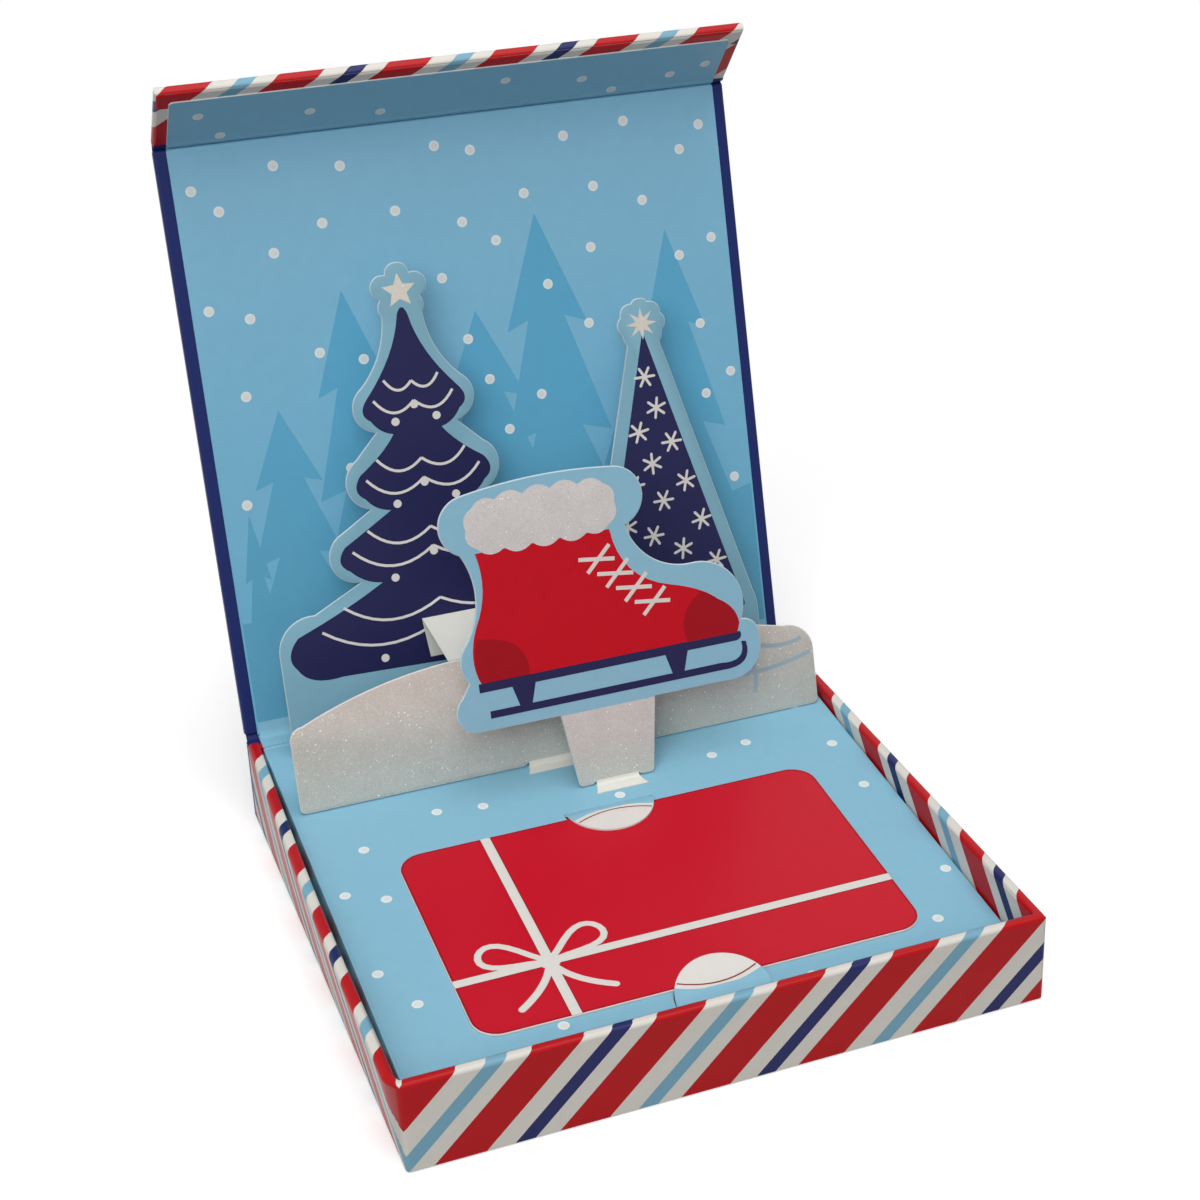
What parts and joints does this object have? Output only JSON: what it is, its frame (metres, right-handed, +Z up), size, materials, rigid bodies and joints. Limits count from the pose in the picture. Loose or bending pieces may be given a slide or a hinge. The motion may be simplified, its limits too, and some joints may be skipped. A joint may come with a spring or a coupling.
{
  "type": "gift card holder",
  "caption": "Square board gift card box with a hinged lid, a magnetic front flap, a sloping platform with half-moon card tabs, and a pop-up winter scene that folds flat.",
  "frame": {"origin": "plan centre of the tray on its underside", "axes": "+Z up, +X to the right seen from the front, +Y towards the hinge"},
  "size_m": [0.119, 0.1491, 0.1495],
  "materials": {
    "board": "matt",
    "striped_paper": "satin print",
    "navy_paper": "satin print",
    "blue_paper": "satin print",
    "tree_paper": "satin print with glitter",
    "snow_paper": "glitter",
    "skate_paper": "satin print with glitter",
    "strap_paper": "satin",
    "card_stock": "satin print",
    "magnet": "plated"
  },
  "bodies": {
    "tray": {"base_paper": "navy_paper", "base_board": "board", "front_wall_board": "board", "rear_wall_board": "board", "left_wall_board": "board", "right_wall_board": "board", "tray_wrap": "striped_paper", "spine_board": "board", "spine_wrap": "navy_paper", "platform": "blue_paper", "front_card_tab": "blue_paper", "rear_card_tab": "blue_paper", "hinge_gutter": "blue_paper", "front_magnets": "magnet", "tree_floor_tab": "strap_paper", "hill_floor_tab": "strap_paper", "skate_floor_tab": "strap_paper"},
    "lid": {"lid_board": "board", "lid_wrap": "navy_paper", "lid_liner": "blue_paper", "lid_strap_tabs": "strap_paper"},
    "flap": {"flap_board": "board", "flap_wrap": "striped_paper", "flap_liner": "blue_paper", "flap_magnets": "magnet"},
    "tree_layer": {"tree_panel": "tree_paper", "tree_strap_tabs": "strap_paper", "hill_strap_tab": "strap_paper"},
    "rear_straps": {"tree_straps": "strap_paper"},
    "hill_layer": {"snow_hill": "snow_paper", "skate_strap_rear_tab": "strap_paper"},
    "middle_strap": {"hill_strap": "strap_paper"},
    "skate_layer": {"skate_panel": "skate_paper", "skate_strap_front_tab": "strap_paper"},
    "front_strap": {"skate_strap": "strap_paper"},
    "card": {"gift_card": "card_stock"}
  },
  "joints": [
    {"name": "lid_hinge", "type": "hinge", "parent": "tray", "child": "lid", "pos_m": [0, 0.0595, 0.0182], "axis": [1, 0, 0], "range_deg": [0, 103.4]},
    {"name": "flap_hinge", "type": "hinge", "parent": "lid", "child": "flap", "pos_m": [0, 0.08787, 0.1347], "axis": [1, 0, 0], "range_deg": [-55.9, 34.1]},
    {"name": "tree_fold", "type": "hinge", "parent": "tray", "child": "tree_layer", "pos_m": [0, 0.04999, 0.0176], "axis": [1, 0, 0], "range_deg": [0, 103.4]},
    {"name": "hill_fold", "type": "hinge", "parent": "tray", "child": "hill_layer", "pos_m": [0, 0.0302, 0.01651], "axis": [1, 0, 0], "range_deg": [0, 103.4]},
    {"name": "skate_fold", "type": "hinge", "parent": "tray", "child": "skate_layer", "pos_m": [0, 0.0193, 0.01557], "axis": [1, 0, 0], "range_deg": [0, 103.4]},
    {"name": "tree_strap_fold", "type": "hinge", "parent": "tree_layer", "child": "rear_straps", "pos_m": [0, 0.05495, 0.03698], "axis": [1, 0, 0], "range_deg": [-103.4, 0]},
    {"name": "hill_strap_fold", "type": "hinge", "parent": "hill_layer", "child": "middle_strap", "pos_m": [0, 0.03608, 0.03979], "axis": [1, 0, 0], "range_deg": [-103.4, 0]},
    {"name": "skate_strap_fold", "type": "hinge", "parent": "skate_layer", "child": "front_strap", "pos_m": [0, 0.02356, 0.03203], "axis": [1, 0, 0], "range_deg": [-103.4, 0]},
    {"name": "card_slide", "type": "slide", "parent": "tray", "child": "card", "axis": [1, 0, 0], "range_m": [-0.014, 0.013]}
  ],
  "couplings": [
    {"joint": "tree_fold", "follows": "lid_hinge", "ratio": 1},
    {"joint": "hill_fold", "follows": "lid_hinge", "ratio": 1},
    {"joint": "skate_fold", "follows": "lid_hinge", "ratio": 1},
    {"joint": "tree_strap_fold", "follows": "lid_hinge", "ratio": -1},
    {"joint": "hill_strap_fold", "follows": "lid_hinge", "ratio": -1},
    {"joint": "skate_strap_fold", "follows": "lid_hinge", "ratio": -1}
  ]
}
